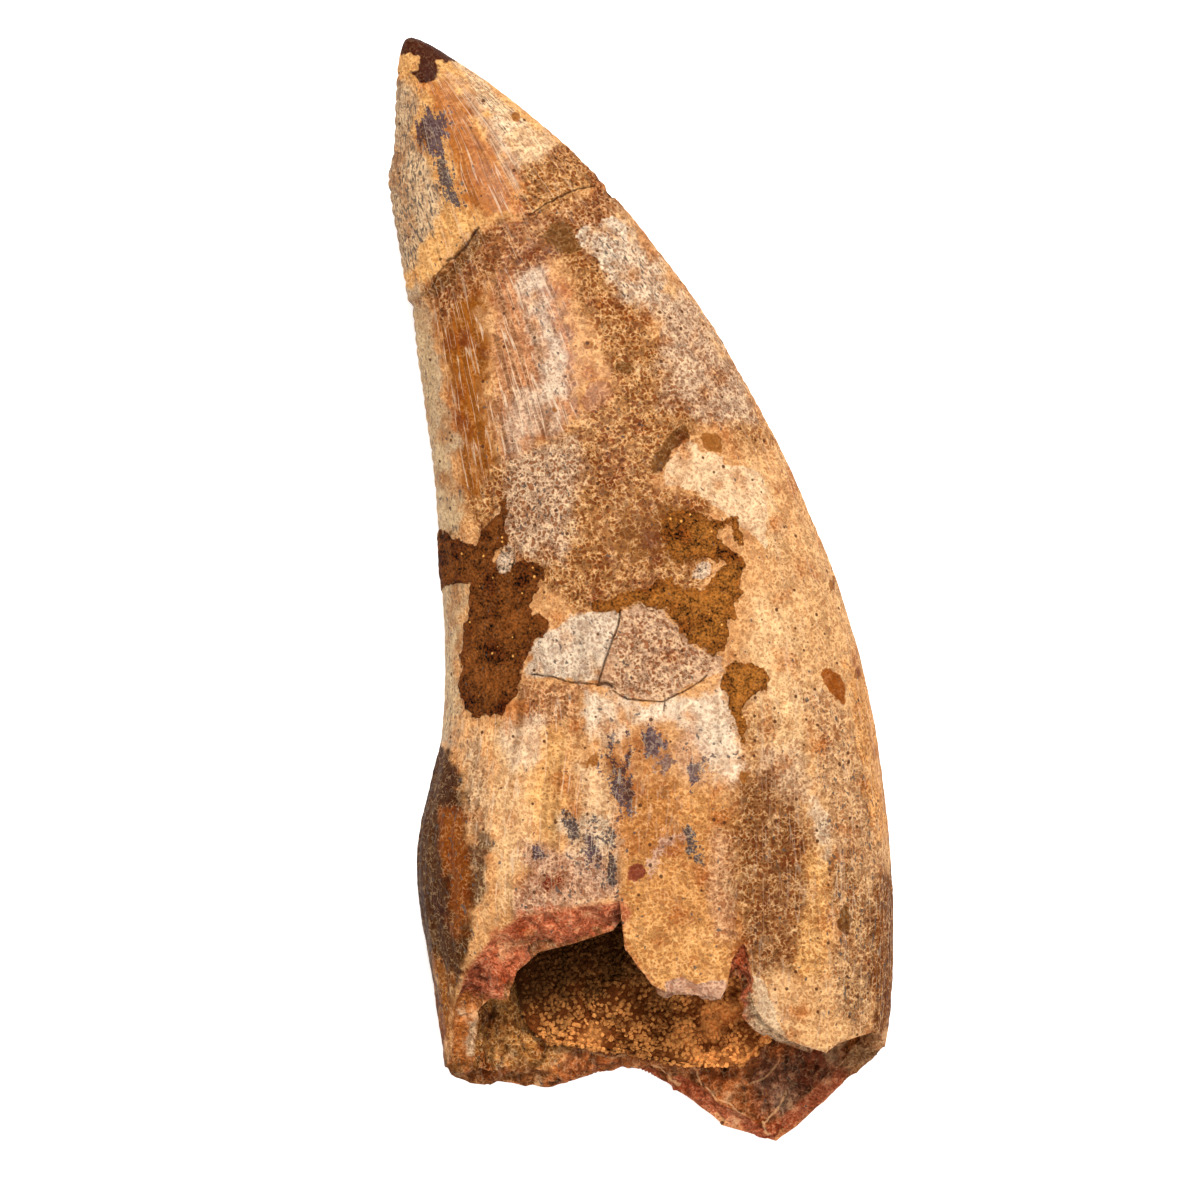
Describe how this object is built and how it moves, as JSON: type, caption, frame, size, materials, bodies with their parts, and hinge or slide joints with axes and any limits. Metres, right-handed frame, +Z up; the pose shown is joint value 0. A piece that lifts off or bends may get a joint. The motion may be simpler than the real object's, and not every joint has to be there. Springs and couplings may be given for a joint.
{
  "type": "carcharodontosaurus tooth",
  "caption": "Curved, flattened fossil tooth lying on its side, with finely notched cutting edges and a snapped, hollow root that holds cemented sand; a loose display piece.",
  "frame": {"origin": "centre of the tooth's outline, at the height of the spot it rests on", "axes": "+Y from the broken root to the tip, +X from the trailing edge to the leading edge, +Z up from the spot it rests on"},
  "size_m": [0.0243, 0.0532, 0.0101],
  "materials": {
    "fossil_tooth": "cream, tan and orange-brown enamel with a soft polish, dull rust crusts, and red-brown dentine where it is broken",
    "cemented_sand": "rough, dull, brown cemented sand grains"
  },
  "bodies": {
    "root": {"tooth": "fossil_tooth", "cavity_sand": "cemented_sand"}
  },
  "joints": []
}
